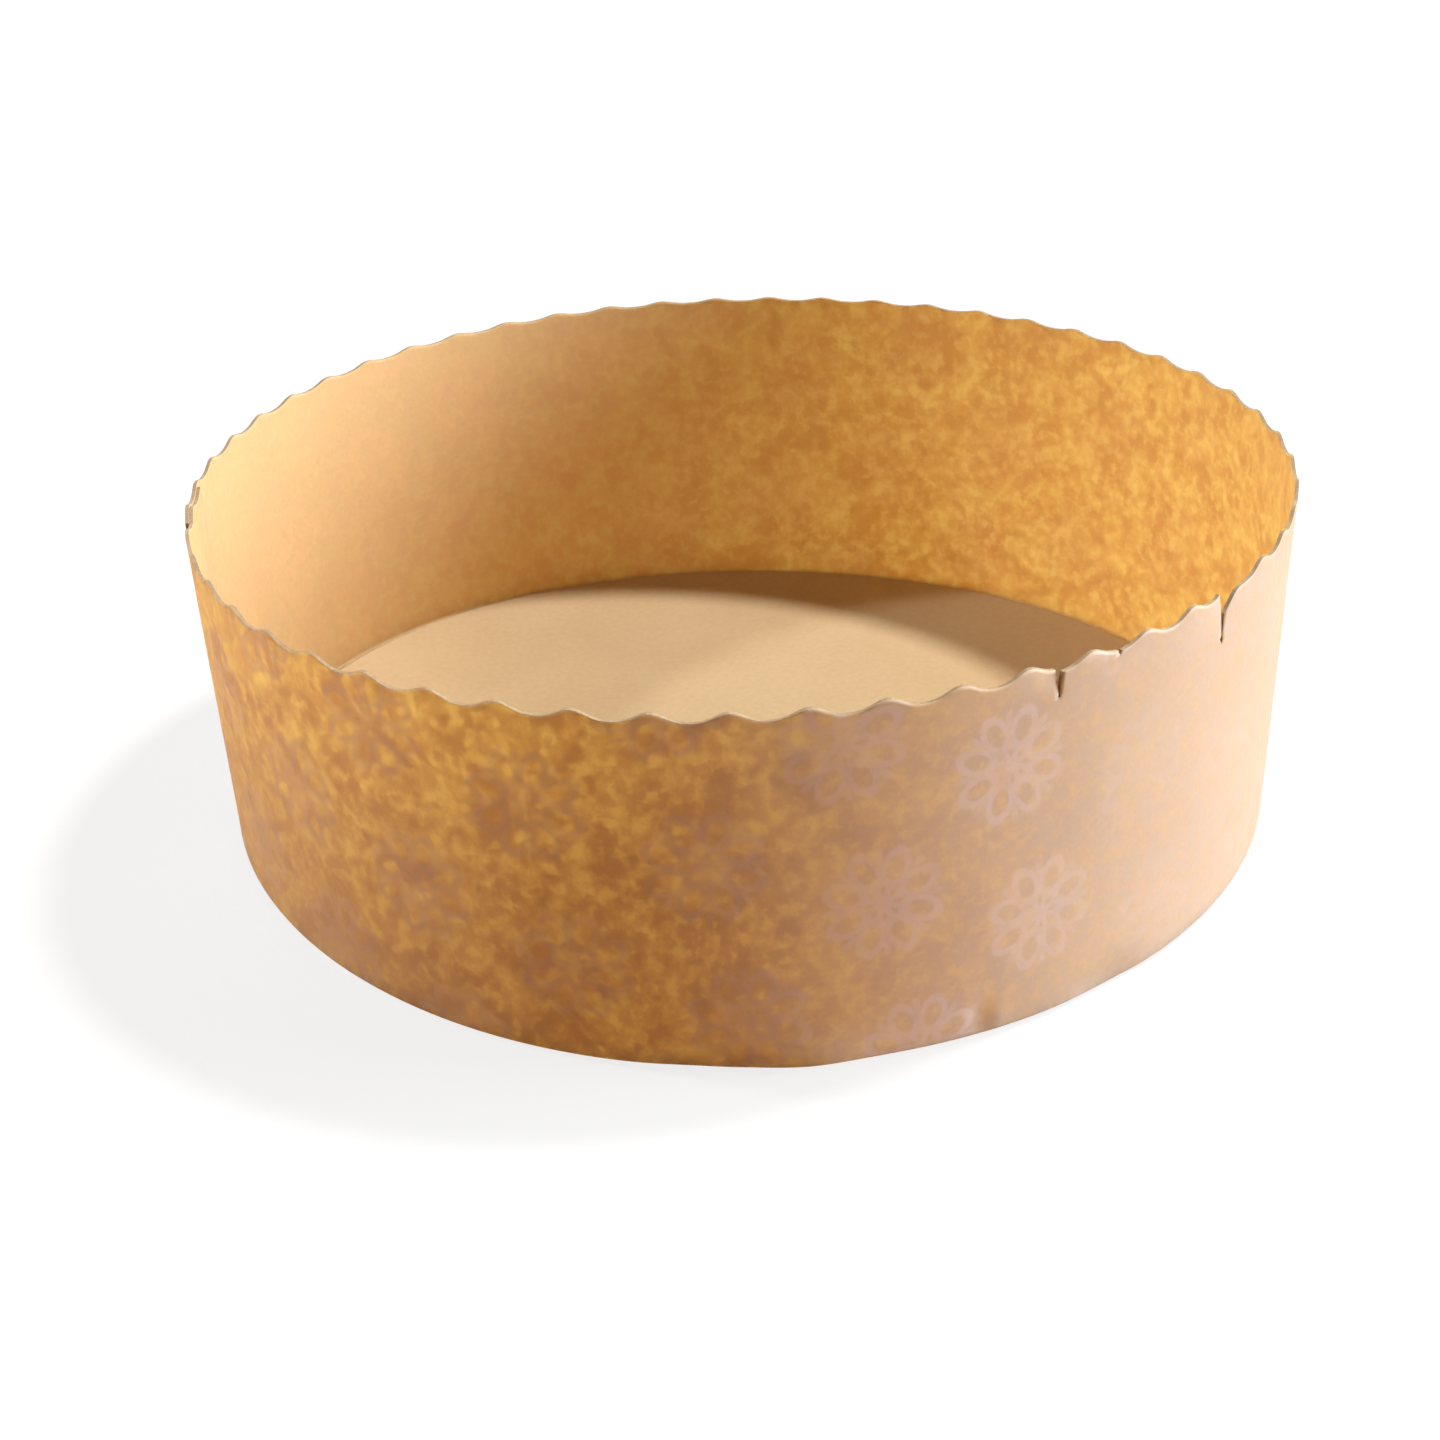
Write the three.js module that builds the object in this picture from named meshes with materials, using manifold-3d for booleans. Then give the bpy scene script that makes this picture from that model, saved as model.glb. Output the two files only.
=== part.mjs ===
// Round paper baking mould: a strip of kraft paper wrapped into a ring with a wavy, slightly torn edge,
// its lower margin folded in as notched tabs, and a flat disc glued on those tabs as the floor.
// Millimetres, +Z up. The origin is the centre of the face that the mould stands on, and -Y is the front.
import * as THREE from 'three';
import Module from 'manifold-3d';

const wasm = await Module();
wasm.setup();

// Ring
const baseDiameter = 155; // outside, just above the bottom fold
const rimDiameter = 157.2; // outside, at the middle of the wavy edge
const edgeHeight = 49.3; // from the standing face to the middle of the wavy edge
const wallPaper = 0.5; // thickness of the wrapped strip
const foldRadius = 1.3; // outside radius of the fold between the wall and its margin
const marginWidth = 12; // how far the margin reaches in from the outside of the wall

// Wavy edge
const waveCount = 53;
const waveHeight = 1.4; // from the bottom of a hollow to the top of a wave
const wavePeakAngle = 5.6; // degrees from the front to the top of one wave
const hollowBreadth = 0.15; // 0 is an even wave, more makes the hollows broader than the tops

// Tabs of the margin
const tabCount = 36;
const notchMouth = 3.2; // width of a notch at the inner edge of the margin
const notchStop = 2.4; // margin left whole between the notch's point and the outside of the wall

// Glued overlap of the strip's two ends, with the lower end inside
const lapAngle = -84; // degrees from the front to the middle of the overlap
const lapWidth = 12;
const lapFoot = 2.6; // height where the inner end starts, clear of the bottom fold
const lapDrop = 0.25; // how much lower the inner end's wavy edge sits

// Tears down from the edge: angle in degrees from the front, then depth below the middle of the edge,
// width at the edge, how deep the open part goes and how wide it still is there
const tears = [
  { angle: 29, depth: 4.2, mouth: 1.1, throat: 2.6, slit: 0.35 },
  { angle: 36.2, depth: 1.5, mouth: 1.2, throat: 0.8, slit: 0.6 },
  { angle: 51.6, depth: 8.2, mouth: 2.8, throat: 4.4, slit: 0.45 },
];

// Floor
const discPaper = 0.5; // thickness of the floor disc
const discClearance = 0.3; // between the disc's edge and the inside of the bottom fold

// Facets
const stepsPerWave = 8;
const outerFoldSteps = 3;
const innerFoldSteps = 2;
const discSides = 144;

const degree = Math.PI / 180;
const baseRadius = baseDiameter / 2;
const rimRadius = rimDiameter / 2;
const foldCentre = baseRadius - foldRadius;
const marginRadius = baseRadius - marginWidth;
const cutMargin = 1; // how far a cutting body runs past what it cuts

// The angle is measured from the front, -Y, towards +X.
function place(radius, angle, z) {
  return [radius * Math.sin(angle), -radius * Math.cos(angle), z];
}

function outsideRadius(z) {
  const rise = (z - foldRadius) / (edgeHeight - foldRadius);
  return baseRadius + (rimRadius - baseRadius) * rise;
}

function edgeAt(angle) {
  const phase = waveCount * (angle - wavePeakAngle * degree);
  const wave = Math.cos(phase) + hollowBreadth * (Math.cos(2 * phase) - 1);
  return edgeHeight + (waveHeight / 2) * wave;
}

// Joins rings of points, each an array of [x, y, z] going the same way round, into one closed skin.
// Each ring is a cross-section, and the last one meets the first when closed is true.
function skin(sections, closed) {
  const size = sections[0].length;
  const positions = sections.flat(2);
  const faces = [];
  const last = closed ? sections.length : sections.length - 1;
  for (let i = 0; i < last; i += 1) {
    const here = i * size;
    const next = ((i + 1) % sections.length) * size;
    for (let j = 0; j < size; j += 1) {
      const up = (j + 1) % size;
      faces.push(here + j, next + j, next + up);
      faces.push(here + j, next + up, here + up);
    }
  }
  if (!closed) {
    const end = (sections.length - 1) * size;
    for (let j = 1; j < size - 1; j += 1) {
      faces.push(0, j, j + 1);
      faces.push(end, end + j + 1, end + j);
    }
  }
  return { positions, faces };
}

function solid({ positions, faces }) {
  return new wasm.Manifold(
    new wasm.Mesh({
      numProp: 3,
      vertProperties: new Float32Array(positions),
      triVerts: new Uint32Array(faces),
    }),
  );
}

// A closed body from a three.js geometry, with its vertices merged by position.
function solidFrom(geometry) {
  const source = geometry.index ? geometry.toNonIndexed() : geometry;
  const points = source.getAttribute('position');
  const known = new Map();
  const positions = [];
  const faces = [];
  for (let i = 0; i < points.count; i += 1) {
    const xyz = [points.getX(i), points.getY(i), points.getZ(i)];
    const key = xyz.map((value) => Math.round(value * 1e4)).join(' ');
    if (!known.has(key)) {
      known.set(key, known.size);
      positions.push(...xyz);
    }
    faces.push(known.get(key));
  }
  return solid({ positions, faces });
}

function meshOf(body, material, name) {
  const { numProp, vertProperties, triVerts } = body.getMesh();
  const positions = [];
  for (let i = 0; i < vertProperties.length; i += numProp) {
    positions.push(vertProperties[i], vertProperties[i + 1], vertProperties[i + 2]);
  }
  const geometry = new THREE.BufferGeometry();
  geometry.setAttribute('position', new THREE.Float32BufferAttribute(positions, 3));
  geometry.setIndex(Array.from(triVerts));
  geometry.computeVertexNormals();
  const mesh = new THREE.Mesh(geometry, material);
  mesh.name = name;
  return mesh;
}

// The strip's cross-section at one angle: margin, bottom fold, outside, edge, inside and back.
function wallSection(angle) {
  const edge = edgeAt(angle);
  const section = [place(marginRadius, angle, 0)];
  for (let i = 0; i <= outerFoldSteps; i += 1) {
    const turn = (i / outerFoldSteps) * 90 * degree;
    const radius = foldCentre + foldRadius * Math.sin(turn);
    section.push(place(radius, angle, foldRadius - foldRadius * Math.cos(turn)));
  }
  section.push(place(outsideRadius(edge), angle, edge));
  section.push(place(outsideRadius(edge) - wallPaper, angle, edge));
  const inner = foldRadius - wallPaper;
  for (let i = innerFoldSteps; i >= 0; i -= 1) {
    const turn = (i / innerFoldSteps) * 90 * degree;
    const radius = foldCentre + inner * Math.sin(turn);
    section.push(place(radius, angle, foldRadius - inner * Math.cos(turn)));
  }
  section.push(place(marginRadius, angle, wallPaper));
  return section;
}

function wrappedStrip() {
  const steps = waveCount * stepsPerWave;
  const sections = [];
  for (let i = 0; i < steps; i += 1) {
    sections.push(wallSection((i / steps) * 360 * degree));
  }
  return solid(skin(sections, true));
}

// The strip's inner end, half sunk into the wall so that the two join into one body.
function lapLayer() {
  const half = lapWidth / 2 / baseRadius;
  const steps = Math.max(4, Math.round((waveCount * stepsPerWave * half) / Math.PI));
  const sections = [];
  for (let i = 0; i <= steps; i += 1) {
    const angle = lapAngle * degree + half * ((2 * i) / steps - 1);
    const top = edgeAt(angle) - lapDrop;
    sections.push([
      place(outsideRadius(lapFoot) - 2 * wallPaper, angle, lapFoot),
      place(outsideRadius(lapFoot) - wallPaper / 2, angle, lapFoot),
      place(outsideRadius(top) - wallPaper / 2, angle, top),
      place(outsideRadius(top) - 2 * wallPaper, angle, top),
    ]);
  }
  return solid(skin(sections, false));
}

function notches() {
  const tip = baseRadius - notchStop;
  const mouth = marginRadius - cutMargin;
  const half = (notchMouth / 2) * ((tip - mouth) / (tip - marginRadius));
  const outline = new THREE.Shape();
  outline.moveTo(-half, -mouth);
  outline.lineTo(0, -tip);
  outline.lineTo(half, -mouth);
  outline.closePath();
  const cutters = [];
  for (let i = 0; i < tabCount; i += 1) {
    const wedge = new THREE.ExtrudeGeometry(outline, {
      depth: wallPaper + 2 * cutMargin,
      bevelEnabled: false,
    });
    wedge.translate(0, 0, -cutMargin);
    wedge.rotateZ((i / tabCount) * 360 * degree);
    cutters.push(solidFrom(wedge));
  }
  return wasm.Manifold.union(cutters);
}

// A tear as a flat outline across the wall, open at the edge and closing to a point.
function tearCutter({ angle, depth, mouth, throat, slit }) {
  const above = waveHeight + cutMargin;
  const slope = (mouth - slit) / throat;
  const outline = new THREE.Shape();
  const half = (mouth + slope * above) / 2;
  outline.moveTo(-half, above);
  outline.lineTo(-slit / 2, -throat);
  outline.lineTo(0, -depth);
  outline.lineTo(slit / 2, -throat);
  outline.lineTo(half, above);
  outline.closePath();
  const across = 4 * wallPaper + 2 * cutMargin;
  const cutter = new THREE.ExtrudeGeometry(outline, { depth: across, bevelEnabled: false });
  cutter.rotateX(90 * degree);
  cutter.translate(0, -rimRadius + across / 2, edgeHeight);
  cutter.rotateZ(angle * degree);
  return solidFrom(cutter);
}

function sideWall() {
  const paper = new THREE.MeshStandardMaterial({ color: 0xc8935c, roughness: 0.72, metalness: 0 });
  let body = wrappedStrip().add(lapLayer()).subtract(notches());
  for (const tear of tears) {
    body = body.subtract(tearCutter(tear));
  }
  return meshOf(body, paper, 'side_wall');
}

function baseDisc() {
  const paper = new THREE.MeshStandardMaterial({ color: 0xd0a878, roughness: 0.9, metalness: 0 });
  const outline = new THREE.Shape();
  outline.absarc(0, 0, foldCentre - discClearance, 0, 360 * degree, false);
  const disc = new THREE.ExtrudeGeometry(outline, {
    depth: discPaper,
    bevelEnabled: false,
    curveSegments: discSides,
  });
  disc.translate(0, 0, wallPaper);
  return meshOf(solidFrom(disc), paper, 'base_disc');
}

const mould = new THREE.Group();
mould.name = 'paper_baking_mould';
mould.add(sideWall(), baseDisc());

export default mould;
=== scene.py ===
import math

import bpy
from mathutils import Matrix, Vector


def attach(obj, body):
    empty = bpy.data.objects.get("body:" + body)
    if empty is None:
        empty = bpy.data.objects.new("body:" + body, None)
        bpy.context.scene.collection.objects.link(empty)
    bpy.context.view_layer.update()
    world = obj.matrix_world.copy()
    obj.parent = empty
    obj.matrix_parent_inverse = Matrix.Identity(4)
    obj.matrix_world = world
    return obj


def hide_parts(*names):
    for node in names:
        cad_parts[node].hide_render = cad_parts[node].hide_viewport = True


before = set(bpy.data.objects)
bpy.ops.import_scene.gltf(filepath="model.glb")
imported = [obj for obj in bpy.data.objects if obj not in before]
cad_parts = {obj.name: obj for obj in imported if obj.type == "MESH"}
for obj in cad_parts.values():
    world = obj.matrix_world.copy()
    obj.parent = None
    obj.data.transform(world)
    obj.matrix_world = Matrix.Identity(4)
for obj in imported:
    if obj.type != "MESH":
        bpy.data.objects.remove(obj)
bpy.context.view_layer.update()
print("frame loaded")


# One value in a node tree, so that sums can be written as sums
class Signal:
    def __init__(self, graph, socket):
        self.graph = graph
        self.socket = socket

    def math(self, operation, *others):
        inputs = dict(enumerate((self,) + others))
        return self.graph.node("ShaderNodeMath", {"operation": operation}, inputs)

    def __add__(self, other):
        return self.math("ADD", other)

    def __mul__(self, other):
        return self.math("MULTIPLY", other)

    def __sub__(self, other):
        return self.math("SUBTRACT", other)

    def __rsub__(self, other):
        return self.math("MULTIPLY_ADD", -1.0, other)

    def __truediv__(self, other):
        return self.math("DIVIDE", other)

    def __pow__(self, other):
        return self.math("POWER", other)

    def __lt__(self, other):
        return self.math("LESS_THAN", other)

    def __gt__(self, other):
        return self.math("GREATER_THAN", other)

    def __neg__(self):
        return self.math("MULTIPLY", -1.0)

    def __abs__(self):
        return self.math("ABSOLUTE")

    __radd__ = __add__
    __rmul__ = __mul__

    def sine(self):
        return self.math("SINE")

    def cosine(self):
        return self.math("COSINE")

    def atLeast(self, other):
        return self.math("MAXIMUM", other)

    def wrapped(self, width):  # repeats over this width, round zero
        return self.math("WRAP", width / 2, -width / 2)

    def bell(self, width):  # 1 at zero, fading over about this width
        return (-(self * self) / (width * width)).math("EXPONENT")

    def blend(self, other, share):  # this share of itself, the rest from the other
        return self * share + other * (1.0 - share)

    def ramp(self, low, high, smooth=True):  # 0 below low, 1 above high
        kind = "SMOOTHSTEP" if smooth else "LINEAR"
        inputs = {"Value": self, "From Min": low, "From Max": high}
        return self.graph.node("ShaderNodeMapRange", {"interpolation_type": kind}, inputs)

    def within(self, start, end):  # 1 between two soft limits
        return self.ramp(*start) * (1.0 - self.ramp(*end))


class Graph:
    def __init__(self, tree):
        self.tree = tree
        tree.nodes.clear()

    # A list as an input links all of its values to one socket, and a tuple as out gives several
    def node(self, kind, settings=None, inputs=None, out=0):
        made = self.tree.nodes.new(kind)
        for name, value in (settings or {}).items():
            setattr(made, name, value)
        for name, value in (inputs or {}).items():
            for single in value if isinstance(value, list) else [value]:
                if isinstance(single, Signal):
                    self.tree.links.new(single.socket, made.inputs[name])
                else:
                    made.inputs[name].default_value = single
        if isinstance(out, tuple):
            return [Signal(self, made.outputs[name]) for name in out]
        return Signal(self, made.outputs[out]) if len(made.outputs) else None

    def vector(self, x, y, z):
        return self.node("ShaderNodeCombineXYZ", None, {0: x, 1: y, 2: z})

    def split(self, vector):
        return self.node("ShaderNodeSeparateXYZ", None, {0: vector}, (0, 1))

    def mixed(self, share, first, second):
        inputs = {0: share, 6: first, 7: second}
        return self.node("ShaderNodeMix", {"data_type": "RGBA"}, inputs, 2)

    def mixedShader(self, share, first, second):
        return self.node("ShaderNodeMixShader", None, {0: share, 1: first, 2: second})

    def translucent(self, colour):
        return self.node("ShaderNodeBsdfTranslucent", None, {"Color": colour})

    def clouds(self, place, size, detail, rough, seed, twist=0.0):
        return self.node(
            "ShaderNodeTexNoise",
            {"noise_dimensions": "4D"},
            {"Vector": place, "W": seed, "Scale": size, "Detail": detail, "Roughness": rough,
             "Distortion": twist},
        )


def plain(red, green, blue):
    return (red, green, blue, 1.0)


perDegree = math.radians(1)
stripRadius = 0.0785  # turns angles into lengths along the flat strip, in metres

# The mould stands a little out of round, as soft paper does: the share of the radius by which the
# rim and the base swell twice and three times round, by which share the back of the base is pushed
# in and how closely that keeps to the back, and where the rim has slid and tilted to
ringShape = {
    "rimTwice": (-0.0011, -0.0051),
    "rimThrice": (0.0020, -0.0058),
    "baseTwice": (0.0009, 0.0069),
    "baseThrice": (0.0128, -0.0040),
    "basePushed": -0.045,
    "pushPower": 2.6,
    "rimSlide": (0.00003, -0.00007),
    "rimTilt": (-0.0001, 0.00034),
}


def backward(angle):  # 0 at the front, 1 at the back
    return 0.5 - angle.cosine() * 0.5


def swell(angle, twice, thrice):
    double = angle * 2.0
    triple = angle * 3.0
    return (
        double.cosine() * twice[0]
        + double.sine() * twice[1]
        + triple.cosine() * thrice[0]
        + triple.sine() * thrice[1]
    )


def baseShape(angle):
    pushed = backward(angle) ** ringShape["pushPower"] * ringShape["basePushed"]
    return swell(angle, ringShape["baseTwice"], ringShape["baseThrice"]) + pushed


def startTree(name, sizes):
    tree = bpy.data.node_groups.new(name, "GeometryNodeTree")
    graph = Graph(tree)
    tree.interface.new_socket("Geometry", in_out="OUTPUT", socket_type="NodeSocketGeometry")
    for label, value in sizes.items():
        socket = tree.interface.new_socket(label, in_out="INPUT", socket_type="NodeSocketFloat")
        socket.default_value = value
    given = graph.node("NodeGroupInput", None, None, tuple(sizes))
    return graph, dict(zip(sizes, given))


def startGrid(graph, columns, rows):
    # The grid, and how far along and across it a point lies, from 0 to 1
    grid = graph.node(
        "GeometryNodeMeshGrid",
        None,
        {"Size X": 1.0, "Size Y": 1.0, "Vertices X": columns + 1, "Vertices Y": rows + 1},
    )
    along, across = graph.split(graph.node("GeometryNodeInputPosition"))
    return grid, along + 0.5, across + 0.5


def painted(graph, geometry, material, selection=True):
    return graph.node(
        "GeometryNodeSetMaterial",
        None,
        {"Geometry": geometry, "Selection": selection, "Material": bpy.data.materials[material]},
    )


def frozen(name, tree, sizes):
    # Runs a tree on an empty mesh and keeps the result as a plain mesh
    carrier = bpy.data.objects.new(name + "Carrier", bpy.data.meshes.new(name + "Carrier"))
    bpy.context.scene.collection.objects.link(carrier)
    modifier = carrier.modifiers.new("shape", "NODES")
    modifier.node_group = tree
    for item in tree.interface.items_tree:
        if item.in_out == "INPUT" and item.name in sizes:
            modifier[item.identifier] = sizes[item.name]
    depsgraph = bpy.context.evaluated_depsgraph_get()
    mesh = bpy.data.meshes.new_from_object(carrier.evaluated_get(depsgraph), depsgraph=depsgraph)
    bpy.data.objects.remove(carrier)
    # Empty material slots go, and the faces keep their own paper
    used = [material for material in mesh.materials if material]
    slots = [used.index(material) if material else 0 for material in mesh.materials]
    kept = [slots[polygon.material_index] for polygon in mesh.polygons]
    mesh.materials.clear()
    for material in used:
        mesh.materials.append(material)
    mesh.polygons.foreach_set("material_index", kept)
    piece = bpy.data.objects.new(name, mesh)
    mesh.name = name
    bpy.context.scene.collection.objects.link(piece)
    return piece


# Paper colours are what a face shows when lit from its own side, and the ones called through are
# what it passes on from behind. Clouds are given as size, detail, roughness, seed and twist.
paperLook = {
    "outside": plain(0.90, 0.78, 0.65),
    "outsideDark": plain(0.84, 0.735, 0.58),
    "outsideRough": 0.50,
    "outsideSheen": 0.3,
    "inside": plain(0.76, 0.585, 0.365),
    "insideDark": plain(0.73, 0.54, 0.31),
    "insideRough": 0.60,
    "insideSheen": 0.0,
    "ink": plain(1.0, 0.815, 0.74),
    "inkLoss": 0.26,
    "inkTint": 0.5,
    "through": plain(1.0, 0.79, 0.36),
    "throughDark": plain(0.91, 0.55, 0.17),
    "throughPale": plain(1.0, 0.65, 0.22),
    "throughInk": plain(1.0, 0.67, 0.38),
    "throughShare": 0.50,
    "throughSpread": 0.16,
    "fineClouds": (620.0, 3.0, 0.55, 1.3, 0.2),
    "broadClouds": (210.0, 3.0, 0.6, 6.1, 0.2),
    "grainClouds": (1900.0, 2.0, 0.6, 2.2),
    "wornClouds": (620.0, 2.0, 0.6, 9.4),
    "fleckFine": 0.75,
    "fleckRange": (0.45, 0.64),
    "fleckShare": 0.64,
    "clumpBroad": 0.6,
    "clumpRange": (0.40, 0.52),
    "clumpShare": 0.36,
    "grainShare": 0.6,
    "wornRange": (0.34, 0.56),
    "wornShare": 0.4,
    "bump": {"Strength": 0.25, "Distance": 0.00012},
    "bumpFine": 0.5,
    "grainGloss": 0.15,
    "shine": {"Specular IOR Level": 0.25, "Sheen Roughness": 0.5},
}

# The cut edge and the floor are papers that let no light through
denseLook = {
    "edge": plain(0.47, 0.34, 0.21),
    "edgeDark": plain(0.30, 0.21, 0.125),
    "edgeGrain": 1800.0,
    "floor": plain(0.60, 0.445, 0.27),
    "floorDark": plain(0.54, 0.39, 0.228),
    "floorGrain": 900.0,
    "fibreClouds": (4.0, 0.65, 4.4),
    "broadClouds": (60.0, 2.0, 0.5, 8.0),
    "fibreShare": 0.6,
    "toneRange": (0.3, 0.7),
    "bump": {"Strength": 0.2, "Distance": 0.0001},
    "rough": 0.82,
    "fibreGloss": 0.1,
    "shine": {"Specular IOR Level": 0.2},
}

# A common rosette of eight open petals, repeated in a triangular net. Metres on the flat strip.
printNet = {
    "spacing": 0.0227,
    "lean": -17.5,
    "centreAngle": 12.0,
    "centreHeight": 0.0225,
    "petals": 8,
    "petalAt": 0.0050,
    "petalLong": 0.0024,
    "petalWide": 0.0015,
    "line": 0.00042,
    "lineCore": 0.5,  # a stroke fades from this share of the line to lineSoft of it
    "lineSoft": 1.5,
    "spokeStart": (0.0004, 0.0010),
    "spokeEnd": (0.0024, 0.0030),
    "leafCore": 0.6,
    "leafStart": (0.0046, 0.0052),
    "leafEnd": (0.0072, 0.0080),
    "leafShare": 0.8,
    "heart": (0.0009, 0.0016),
    "halo": 0.06,
    "haloEnd": (0.0060, 0.0092),
    # Over the next stretch of the strip the print is faded away where the right side is lit
    # brightest: a painted highlight.
    "highlightFadeStart": (0.028, 0.058),
    "highlightFadeEnd": (0.135, 0.165),
    "highlightFadeShare": 0.88,
}


def rosette(x, y):
    # Strokes of one flower round the origin, 1 on the line
    away = (x * x + y * y).math("SQRT")
    turn = y.math("ARCTAN2", x)
    sector = math.tau / printNet["petals"]
    line = printNet["line"]
    core, leafCore, soft = (line * printNet[key] for key in ("lineCore", "leafCore", "lineSoft"))
    # Petals, and a spoke in each of them
    local = turn.wrapped(sector)
    along = away * local.cosine() - printNet["petalAt"]
    across = away * local.sine()
    long, wide = printNet["petalLong"], printNet["petalWide"]
    reach = ((along / long) * (along / long) + (across / wide) * (across / wide)).math("SQRT")
    loop = 1.0 - (abs(reach - 1.0) * wide).ramp(core, soft)
    spoke = 1.0 - abs(across).ramp(core, soft)
    spoke = spoke * away.within(printNet["spokeStart"], printNet["spokeEnd"])
    # Leaves between the petals
    between = (turn + sector / 2).wrapped(sector)
    leaf = 1.0 - abs(away * between.sine()).ramp(leafCore, soft)
    leaf = leaf * (away * between.cosine()).within(printNet["leafStart"], printNet["leafEnd"])
    heart = 1.0 - away.ramp(*printNet["heart"])
    halo = (1.0 - away.ramp(*printNet["haloEnd"])) * printNet["halo"]
    strokes = loop.atLeast(spoke).atLeast(leaf * printNet["leafShare"]).atLeast(heart)
    return strokes.atLeast(halo)


def printMask(along, up):
    # Two nets of oblong cells, each shifted by half a cell, make the triangular one
    right = along - printNet["centreAngle"] * perDegree * stripRadius
    above = up - printNet["centreHeight"]
    lean = math.radians(printNet["lean"])
    x = right * math.cos(lean) + above * math.sin(lean)
    y = above * math.cos(lean) - right * math.sin(lean)
    wide = printNet["spacing"]
    tall = wide * math.sqrt(3)
    first, second = (
        rosette((x + shift * wide).wrapped(wide), (y + shift * tall).wrapped(tall))
        for shift in (0.0, 0.5)
    )
    return first.atLeast(second)


def startMaterial(name):
    material = bpy.data.materials.new(name)
    material.use_nodes = True
    return material, Graph(material.node_tree)


def thinPaper(name, side, thick, printed):
    graph = startMaterial(name)[1]
    place = graph.node("ShaderNodeTexCoord", None, None, "Object")
    # Bright thin flecks and dark thick clumps of fibre
    fine = graph.clouds(place, *paperLook["fineClouds"])
    broad = graph.clouds(place, *paperLook["broadClouds"])
    grain = graph.clouds(place, *paperLook["grainClouds"])
    flecks = fine.blend(broad, paperLook["fleckFine"]).ramp(*paperLook["fleckRange"])
    clumps = 1.0 - broad.blend(fine, paperLook["clumpBroad"]).ramp(*paperLook["clumpRange"])
    cloud = (
        paperLook["clumpShare"]
        + flecks * paperLook["fleckShare"]
        - clumps * paperLook["clumpShare"]
        + (grain - 0.5) * paperLook["grainShare"]
    ).ramp(0.0, 1.0, False)
    colour = graph.mixed(cloud, paperLook[side + "Dark"], paperLook[side])
    # Translucent colours stay plain, and the clouds and the ink mix them as shaders
    dense, thin = (graph.translucent(paperLook[shade]) for shade in (thick, "through"))
    behind = graph.mixedShader(cloud, dense, thin)
    through = paperLook["throughShare"] + (cloud - 0.5) * paperLook["throughSpread"]
    if printed:
        # The ink is a thin pink film, paler than the paper, less open and worn in spots. Over the
        # brightly lit right side it is faded nearly away, a painted highlight that washes the
        # print out.
        strip = graph.node("ShaderNodeAttribute", {"attribute_name": "sheet"}, None, "Vector")
        along, up = graph.split(strip)
        worn = graph.clouds(place, *paperLook["wornClouds"]).ramp(*paperLook["wornRange"])
        worn = worn * paperLook["wornShare"] + (1.0 - paperLook["wornShare"])
        highlightFade = along.within(printNet["highlightFadeStart"], printNet["highlightFadeEnd"])
        mask = printMask(along, up) * worn * (1.0 - highlightFade * printNet["highlightFadeShare"])
        colour = graph.mixed(mask, colour, paperLook["ink"])
        inked = graph.translucent(paperLook["throughInk"])
        behind = graph.mixedShader(mask * paperLook["inkTint"], behind, inked)
        through = through * (1.0 - mask * paperLook["inkLoss"])
    height = fine.blend(grain, paperLook["bumpFine"])
    bump = graph.node("ShaderNodeBump", None, {**paperLook["bump"], "Height": height})
    rough = paperLook[side + "Rough"] + (grain - 0.5) * paperLook["grainGloss"]
    face = graph.node(
        "ShaderNodeBsdfPrincipled",
        None,
        {"Base Color": colour, "Roughness": rough, "Normal": bump,
         "Sheen Weight": paperLook[side + "Sheen"], **paperLook["shine"]},
    )
    both = graph.mixedShader(through, face, behind)
    graph.node("ShaderNodeOutputMaterial", None, {0: both})


def densePaper(name, kind):
    graph = startMaterial(name)[1]
    place = graph.node("ShaderNodeTexCoord", None, None, "Object")
    fibres = graph.clouds(place, denseLook[kind + "Grain"], *denseLook["fibreClouds"])
    broad = graph.clouds(place, *denseLook["broadClouds"])
    tone = fibres.blend(broad, denseLook["fibreShare"]).ramp(*denseLook["toneRange"])
    bump = graph.node("ShaderNodeBump", None, {**denseLook["bump"], "Height": fibres})
    face = graph.node(
        "ShaderNodeBsdfPrincipled",
        None,
        {"Base Color": graph.mixed(tone, denseLook[kind + "Dark"], denseLook[kind]),
         "Roughness": fibres * denseLook["fibreGloss"] + denseLook["rough"], "Normal": bump,
         **denseLook["shine"]},
    )
    graph.node("ShaderNodeOutputMaterial", None, {0: face})


thinPaper("printedPaper", "outside", "throughDark", True)
thinPaper("plainPaper", "inside", "throughPale", False)
densePaper("cutEdge", "edge")
densePaper("floorPaper", "floor")
print("papers mixed")

wallSizes = {
    "Base Radius": 0.0778,
    "Rim Radius": 0.0786,
    "Edge Height": 0.0493,
    "Paper": 0.0005,
    "Fold Radius": 0.0009,
    "Margin Width": 0.012,
    "Wave Count": 53.0,
    "Wave Height": 0.0013,
    "Wave Fade": 0.6,
    "Wave Peak": 5.6,
    "Hollow Breadth": 0.15,
    "Notch Mouth": 0.0032,
    "Notch Stop": 0.0024,
    "Lap Foot": 0.0026,
    "Lap Drop": 0.00025,
    "Lap Gap": 0.00004,
    "Crumple": 0.00014,
}

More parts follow.
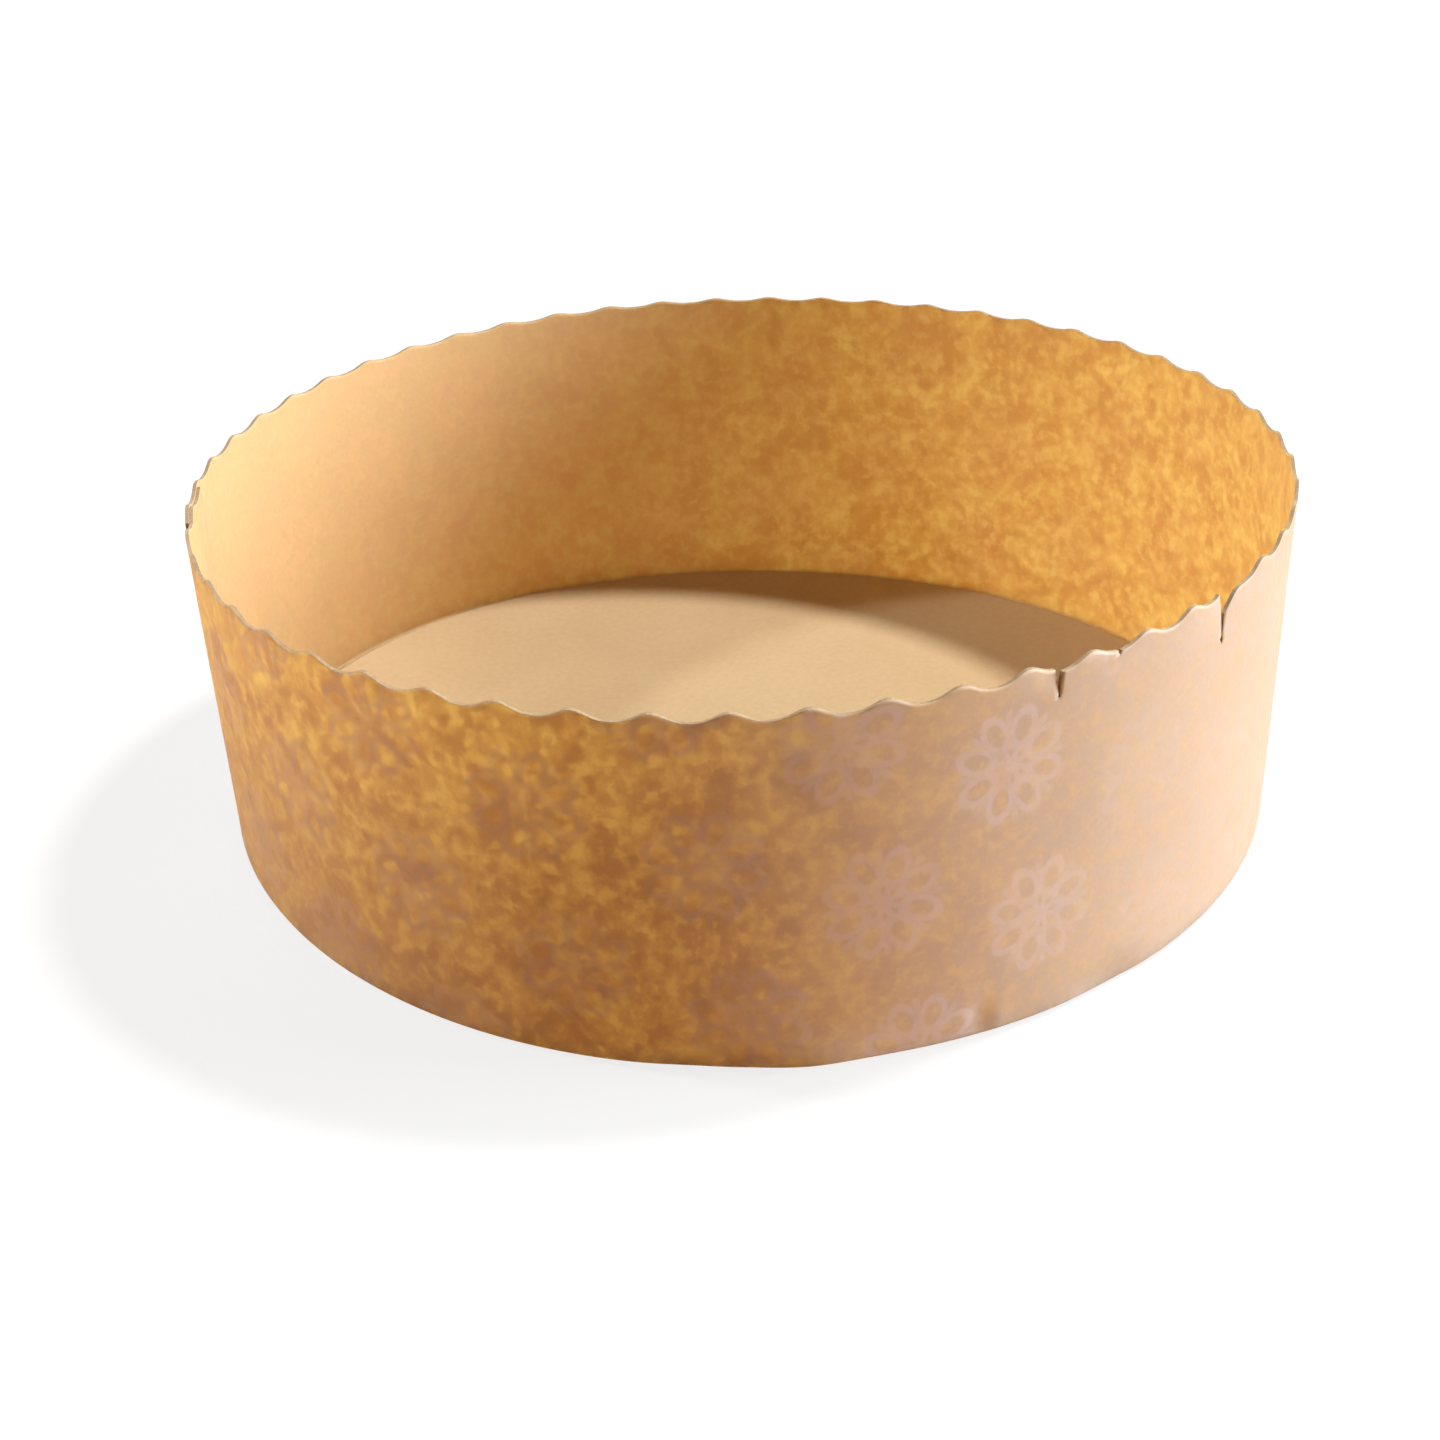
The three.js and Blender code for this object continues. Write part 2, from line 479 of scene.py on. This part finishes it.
# How the strip is divided, where it starts and ends in degrees from the front, how it is cut, and
# over how many degrees and which heights its inner end is tucked behind the outer one
wallGrid = {
    "step": 0.5,
    "start": -88.75,
    "lap": 9.0,
    "marginRows": 6,
    "foldRows": 5,
    "lowRows": 22,
    "highRows": 18,
    "highFrom": 0.0398,
    "tabs": 36,
    "cutShare": 0.4,  # of a step, within which a face counts as lying on a cut
    "tearTip": 0.0003,  # height over which a tear opens from its tip
    "leanPower": 1.5,
    "dropOver": 0.5,
    "tuckOver": 5.5,
    "tuckFrom": 0.0013,
    "tuckRise": 0.0012,
    "crumpleClouds": (55.0, 2.0, 0.5, 3.7),
    "crumpleRise": (0.0, 0.2),
    "mergeWithin": 0.000004,
}

# Tears from the edge down: where, how deep, how wide at the edge, how deep it gapes, how wide it
# still is there, and how far its left and right lips lean out (in is negative)
tears = (
    {"angle": 29.0, "depth": 0.0042, "mouth": 0.0006, "throat": 0.0026, "slit": 0.0002,
     "left": -0.0007, "right": 0.0003, "reach": 0.0035},
    {"angle": 36.0, "depth": 0.0013, "mouth": 0.0010, "throat": 0.0008, "slit": 0.0003,
     "left": -0.0003, "right": 0.0002, "reach": 0.0020},
    {"angle": 51.5, "depth": 0.0064, "mouth": 0.0008, "throat": 0.0022, "slit": 0.0004,
     "left": -0.0006, "right": 0.0001, "reach": 0.0040},
)

# The corner lost beside the deepest tear: where, how deep, over how many degrees
chip = {"angle": 51.5, "depth": 0.0030, "over": 2.4}

# Small dents and bulges low on the wall: angle, width in degrees, height, spread, amount outwards
dents = (
    (21.6, 1.1, 0.0030, 0.0016, -0.0004),
    (23.4, 0.9, 0.0022, 0.0016, 0.0002),
    (5.0, 5.0, 0.0000, 0.0035, 0.0012),
    (36.5, 4.0, 0.0000, 0.0030, -0.0008),
    (-6.0, 3.0, 0.0000, 0.0030, -0.0005),
)


def tornEdge(degrees, height, size):
    # How far the tears push the paper sideways and outwards, and which faces they cut away
    sideways, outward, gone = 0.0, 0.0, 0.0
    width = math.radians(wallGrid["step"]) * stripRadius
    for tear in tears:
        away = (degrees - tear["angle"]) * perDegree * stripRadius
        tip = size["Edge Height"] - tear["depth"]
        throat = size["Edge Height"] - tear["throat"]
        slitPart = ((height - tip) / (throat - tip)).math("MINIMUM", 1.0).atLeast(0.0)
        mouthPart = ((height - throat) / tear["throat"]).atLeast(0.0)
        gape = slitPart * tear["slit"] + mouthPart * (tear["mouth"] - tear["slit"])
        above = (height - tip).ramp(0.0, wallGrid["tearTip"])
        side = away.math("SIGN")
        beside = (abs(away) - width / 2).atLeast(0.0)
        fade = (-beside / tear["reach"]).math("EXPONENT")
        sideways = side * (gape * 0.5 - width / 2) * fade * above + sideways
        lift = ((height - tip) / tear["depth"]).atLeast(0.0) ** wallGrid["leanPower"]
        lean = (side > 0.0) * (tear["right"] - tear["left"]) + tear["left"]
        outward = lean * fade * lift + outward
        hole = (abs(away) < width * wallGrid["cutShare"]) * (height > tip)
        gone = hole.atLeast(gone)
    return sideways, outward, gone


def notchedMargin(degrees, radius, marginStart, inMargin, size):
    # How far the notches push the tabs apart, and which faces they cut away
    pitch = 360 / wallGrid["tabs"]
    local = degrees.wrapped(pitch)
    notchTip = size["Base Radius"] - size["Notch Stop"]
    reached = ((notchTip - radius) / (notchTip - marginStart)).atLeast(0.0)
    notched = reached > 0.0
    gap = size["Notch Mouth"] * reached - radius * math.radians(wallGrid["step"])
    fade = 1.0 - abs(local) / (pitch / 2)
    push = local.math("SIGN") * gap * 0.5 * fade * notched * inMargin
    hole = (abs(local) < wallGrid["step"] * wallGrid["cutShare"]) * notched * inMargin
    return push, hole


def makeWallTree():
    graph, size = startTree("wrappedStrip", wallSizes)
    columns = round((360 + wallGrid["lap"]) / wallGrid["step"])
    rows = [wallGrid[part + "Rows"] for part in ("margin", "fold", "low", "high")]
    sheet, along, across = startGrid(graph, columns, sum(rows))
    degrees = along * (columns * wallGrid["step"]) + wallGrid["start"]
    angle = degrees * perDegree
    row = across * float(sum(rows))

    # Profile: margin under the floor, fold, wall up to highFrom, wall up to the wavy edge
    marginPart, foldPart, lowPart, highPart = (
        row.ramp(float(sum(rows[:index])), float(sum(rows[: index + 1])), False)
        for index in range(len(rows))
    )
    turn = foldPart * (math.pi / 2)
    foldCentre = size["Base Radius"] - size["Fold Radius"]
    marginStart = size["Base Radius"] - size["Margin Width"]

    # The waves are flatter towards the back
    phase = (degrees - size["Wave Peak"]) * perDegree * size["Wave Count"]
    wave = phase.cosine() + size["Hollow Breadth"] * ((phase * 2.0).cosine() - 1.0)
    flatter = 1.0 - size["Wave Fade"] * backward(angle)
    waves = size["Wave Height"] * 0.5 * wave * flatter
    lapEnd = wallGrid["start"] + wallGrid["lap"]
    inLap = 1.0 - degrees.ramp(lapEnd, lapEnd + wallGrid["dropOver"])
    edge = size["Edge Height"] + waves - size["Lap Drop"] * inLap
    past = (degrees - chip["angle"]).atLeast(0.0)
    edge = edge - (degrees > chip["angle"]) * chip["depth"] * past.bell(chip["over"])

    height = (
        size["Fold Radius"] * (1.0 - turn.cosine())
        + (wallGrid["highFrom"] - size["Fold Radius"]) * lowPart
        + (edge - wallGrid["highFrom"]) * highPart
    )
    rise = (height - size["Fold Radius"]) / (size["Edge Height"] - size["Fold Radius"])
    rise = rise.atLeast(0.0)
    radius = (
        marginStart
        + (foldCentre - marginStart) * marginPart
        + size["Fold Radius"] * turn.sine()
        + (size["Rim Radius"] - size["Base Radius"]) * rise
    )

    sideways, outward, gone = tornEdge(degrees, height, size)
    inMargin = 1.0 - (lowPart > 0.0)
    push, hole = notchedMargin(degrees, radius, marginStart, inMargin, size)
    sideways = sideways + push
    # The inner end of the strip is cut off above the fold
    cutOff = (degrees < lapEnd) * (height < size["Lap Foot"])
    gone = gone.atLeast(hole).atLeast(cutOff)

    for centre, spread, level, tall, amount in dents:
        bump = (degrees - centre).bell(spread) * (height - level).bell(tall) * amount
        outward = outward + bump * foldPart
    tucked = 1.0 - degrees.ramp(lapEnd, lapEnd + wallGrid["tuckOver"])
    tucked = tucked * (height - wallGrid["tuckFrom"]).ramp(0.0, wallGrid["tuckRise"])
    outward = outward - (size["Paper"] + size["Lap Gap"]) * tucked

    # Soft waviness of the paper
    spot = graph.vector(angle.sine() * radius, angle.cosine() * radius, height)
    noise = graph.clouds(spot, *wallGrid["crumpleClouds"]) - 0.5
    outward = outward + noise * 2.0 * size["Crumple"] * rise.ramp(*wallGrid["crumpleRise"])

    # Out of round
    rimShape = swell(angle, ringShape["rimTwice"], ringShape["rimThrice"])
    scale = 1.0 + baseShape(angle) * (1.0 - rise) + rimShape * rise
    finalRadius = (radius + outward) * scale
    turned = angle + sideways / radius
    slideX, slideY = ringShape["rimSlide"]
    tiltY, tiltX = ringShape["rimTilt"]
    x = turned.sine() * finalRadius + slideX * rise
    y = -(turned.cosine() * finalRadius) + slideY * rise
    z = height + (angle.cosine() * tiltY + angle.sine() * tiltX) * rise
    # The way to the paper's other face
    inX = -(turn.sine() * turned.sine() * size["Paper"])
    inY = turn.sine() * turned.cosine() * size["Paper"]
    inZ = turn.cosine() * size["Paper"]

    def stored(geometry, name, value, kind="FLOAT_VECTOR", domain="POINT"):
        return graph.node(
            "GeometryNodeStoreNamedAttribute",
            {"data_type": kind, "domain": domain},
            {"Geometry": geometry, "Name": name, "Value": value},
        )

    def named(name, kind="FLOAT_VECTOR"):
        return graph.node("GeometryNodeInputNamedAttribute", {"data_type": kind}, {"Name": name})

    geometry = stored(sheet, "inward", graph.vector(inX, inY, inZ))
    geometry = stored(geometry, "sheet", graph.vector(angle * stripRadius, height, 0.0))
    geometry = stored(geometry, "target", graph.vector(x, y, z))
    geometry = graph.node(
        "GeometryNodeDeleteGeometry",
        {"domain": "FACE", "mode": "ALL"},
        {"Geometry": geometry, "Selection": gone > 0.5},
    )
    outer = graph.node(
        "GeometryNodeSetPosition", None, {"Geometry": geometry, "Position": named("target")}
    )
    grown, topFaces, sideFaces = graph.node(
        "GeometryNodeExtrudeMesh",
        {"mode": "FACES"},
        {"Mesh": outer, "Offset": named("inward"), "Offset Scale": 1.0, "Individual": False},
        ("Mesh", "Top", "Side"),
    )

    # Faces are numbered by their paper: 0 outside, 1 inside, 2 cut edge
    grown = stored(grown, "part", topFaces + sideFaces * 2.0, "FLOAT", "FACE")
    grown = graph.node("GeometryNodeFlipFaces", None, {"Mesh": grown})
    outer = stored(outer, "part", 0.0, "FLOAT", "FACE")
    whole = graph.node("GeometryNodeJoinGeometry", None, {0: [outer, grown]})
    whole = graph.node(
        "GeometryNodeMergeByDistance",
        None,
        {"Geometry": whole, "Distance": wallGrid["mergeWithin"]},
    )
    part = named("part", "FLOAT")
    whole = graph.node("GeometryNodeSetShadeSmooth", None, {0: whole, "Shade Smooth": part < 1.5})
    whole = graph.node("GeometryNodeRealizeInstances", None, {"Geometry": whole})
    for index, name in enumerate(("printedPaper", "plainPaper", "cutEdge")):
        whole = painted(graph, whole, name, abs(part - float(index)) < 0.5)
    graph.node("NodeGroupOutput", None, {0: whole})
    return graph.tree


wall = frozen("wrapped_wall", makeWallTree(), wallSizes)
print("wall faces", len(wall.data.polygons), [material.name for material in wall.data.materials])
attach(wall, "root")
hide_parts("side_wall")

floorSizes = {
    "Radius": 0.0759,
    "Paper": 0.0005,
    "Rest": 0.0005,
    "Edge Bulge": 0.00008,
}

# Rows of the disc: a middle point, out along the top, round the edge, back along the underside
floorGrid = {
    "columns": 240,
    "rows": 24,
    "topRows": 10,
    "edgeRows": 4,
    "mergeWithin": 0.000002,
}


def makeFloorTree():
    graph, size = startTree("floorDisc", floorSizes)
    grid, along, reach = startGrid(graph, floorGrid["columns"], floorGrid["rows"])
    angle = along * math.tau
    edgeFrom = floorGrid["topRows"] / floorGrid["rows"]
    edgeTo = (floorGrid["topRows"] + floorGrid["edgeRows"]) / floorGrid["rows"]
    top = reach.ramp(0.0, edgeFrom, False)
    edge = reach.ramp(edgeFrom, edgeTo, False)
    under = reach.ramp(edgeTo, 1.0, False)
    radius = size["Radius"] * (top - under) * (1.0 + baseShape(angle))
    radius = radius + (edge * math.pi).sine() * size["Edge Bulge"]
    lift = size["Rest"] + size["Paper"] * (1.0 - edge)
    target = graph.vector(angle.sine() * radius, -(angle.cosine() * radius), lift)
    disc = graph.node("GeometryNodeSetPosition", None, {"Geometry": grid, "Position": target})
    disc = graph.node(
        "GeometryNodeMergeByDistance",
        None,
        {"Geometry": disc, "Distance": floorGrid["mergeWithin"]},
    )
    disc = graph.node("GeometryNodeFlipFaces", None, {"Mesh": disc})
    disc = graph.node("GeometryNodeRealizeInstances", None, {"Geometry": disc})
    graph.node("NodeGroupOutput", None, {0: painted(graph, disc, "floorPaper")})
    return graph.tree


disc = frozen("floor_disc", makeFloorTree(), floorSizes)
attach(disc, "root")
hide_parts("base_disc")
print("disc faces", len(disc.data.polygons))

# Lamps: a sun high at the right and a little behind, a wide low lamp at the right, a weaker one
# from the left and behind, and a wide weak one from the back. Their turns are in degrees from the
# front towards the right.
lamps = {
    "sun": {"turn": 122.0, "height": 60.0, "strength": 3.2, "spread": 7.0,
            "colour": (0.97, 0.97, 0.93)},
    "soft": {"turn": 94.0, "height": 10.0, "strength": 6.1, "spread": 34.0,
             "colour": (0.94, 1.0, 1.06)},
    "rear": {"turn": -108.0, "height": 41.0, "strength": 1.05, "spread": 5.0,
             "colour": (0.95, 1.0, 1.0)},
    "back": {"turn": 192.0, "height": 20.0, "strength": 1.05, "spread": 40.0,
             "colour": (1.0, 0.92, 0.82)},
}

# A pale table and a dim sky, both of which look white
studio = {
    "sky": 0.07,
    "skyColour": plain(1.0, 0.82, 0.66),
    "table": plain(0.09, 0.07, 0.055),
    "tableSeen": plain(0.9, 0.9, 0.9),
    "tableGlow": 0.80,
    "tableHalf": 12.0,
    "tableLevel": -0.0002,
    "white": plain(1.0, 1.0, 1.0),
}


def sightRays(graph):
    # 1 for rays that look at the white surroundings, straight, in a shine or through clear glass.
    # Light that paper scatters on counts as passed too, and is left out so that it isn't lit more.
    kinds = ("Is Camera Ray", "Is Glossy Ray", "Is Transmission Ray", "Is Diffuse Ray")
    seen, glossy, passed, scattered = graph.node("ShaderNodeLightPath", None, None, kinds)
    clear = passed * (1.0 - scattered)
    return seen, seen.atLeast(glossy).atLeast(clear)


def makeTable():
    half = studio["tableHalf"]
    outline = ((-half, -half), (half, -half), (half, half), (-half, half))
    corners = [(x, y, studio["tableLevel"]) for x, y in outline]
    mesh = bpy.data.meshes.new("table_top")
    mesh.from_pydata(corners, [], [(0, 1, 2, 3)])
    table = bpy.data.objects.new("table_top", mesh)
    bpy.context.scene.collection.objects.link(table)
    material, graph = startMaterial("paleTable")
    seen, sight = sightRays(graph)
    colour = graph.mixed(seen, studio["table"], studio["tableSeen"])
    face = graph.node("ShaderNodeBsdfDiffuse", None, {"Color": colour})
    glow = graph.node("ShaderNodeEmission", None, {"Color": studio["white"], "Strength": 1.0})
    both = graph.mixedShader(sight * studio["tableGlow"], face, glow)
    graph.node("ShaderNodeOutputMaterial", None, {0: both})
    mesh.materials.append(material)


def makeLamp(name, settings):
    turn, rise = math.radians(settings["turn"]), math.radians(settings["height"])
    level = math.cos(rise)
    towards = Vector((math.sin(turn) * level, -math.cos(turn) * level, math.sin(rise)))
    lamp = bpy.data.lights.new(name, "SUN")
    lamp.energy = settings["strength"]
    lamp.angle = math.radians(settings["spread"])
    lamp.color = settings["colour"]
    holder = bpy.data.objects.new(name, lamp)
    holder.rotation_euler = towards.to_track_quat("Z", "Y").to_euler()
    bpy.context.scene.collection.objects.link(holder)


def makeSky():
    world = bpy.data.worlds.new("studioSky")
    bpy.context.scene.world = world
    world.use_nodes = True
    graph = Graph(world.node_tree)
    sight = sightRays(graph)[1]
    level = sight * (1.0 - studio["sky"]) + studio["sky"]
    colour = graph.mixed(sight, studio["skyColour"], studio["white"])
    back = graph.node("ShaderNodeBackground", None, {"Color": colour, "Strength": level})
    graph.node("ShaderNodeOutputWorld", None, {0: back})


# Fitted to the photo. Angles are in degrees, lengths in metres.
cameraView = {
    "rise": 25.08,
    "distance": 0.3596,
    "picture": 1440,  # width in pixels
    "focus": 2417.0,  # in those pixels
    "aim": (23.8, -98.0),  # where the mould's middle stands from the picture's middle, in pixels
    "roll": -1.53,
    "middle": 0.02459,
    "sensor": 36.0,
    "clip": (0.01, 60.0),
}


def makeCamera():
    rise = math.radians(cameraView["rise"])
    back = Vector((0, -math.cos(rise), math.sin(rise)))
    up = Vector((0, math.sin(rise), math.cos(rise)))
    ahead = -back
    yaw = math.atan2(cameraView["aim"][0], cameraView["focus"])
    pitch = math.atan2(-cameraView["aim"][1], cameraView["focus"])
    spin = Matrix.Rotation(yaw, 3, up)
    ahead, right = spin @ ahead, spin @ Vector((1, 0, 0))
    spin = Matrix.Rotation(-pitch, 3, right)
    ahead, up = spin @ ahead, spin @ up
    roll = math.radians(cameraView["roll"])
    right, up = (
        math.cos(roll) * right + math.sin(roll) * up,
        math.cos(roll) * up - math.sin(roll) * right,
    )
    data = bpy.data.cameras.new("photo_camera")
    data.sensor_width = cameraView["sensor"]
    data.lens = cameraView["focus"] / cameraView["picture"] * cameraView["sensor"]
    data.clip_start, data.clip_end = cameraView["clip"]
    holder = bpy.data.objects.new("photo_camera", data)
    place = Vector((0, 0, cameraView["middle"])) + back * cameraView["distance"]
    turned = Matrix((right, up, -ahead)).transposed()
    holder.matrix_world = Matrix.Translation(place) @ turned.to_4x4()
    bpy.context.scene.collection.objects.link(holder)
    bpy.context.scene.camera = holder


makeTable()
for lampName, lampSettings in lamps.items():
    makeLamp(lampName + "_light", lampSettings)
makeSky()
makeCamera()
bpy.context.scene.view_settings.view_transform = "Standard"
print("studio set")
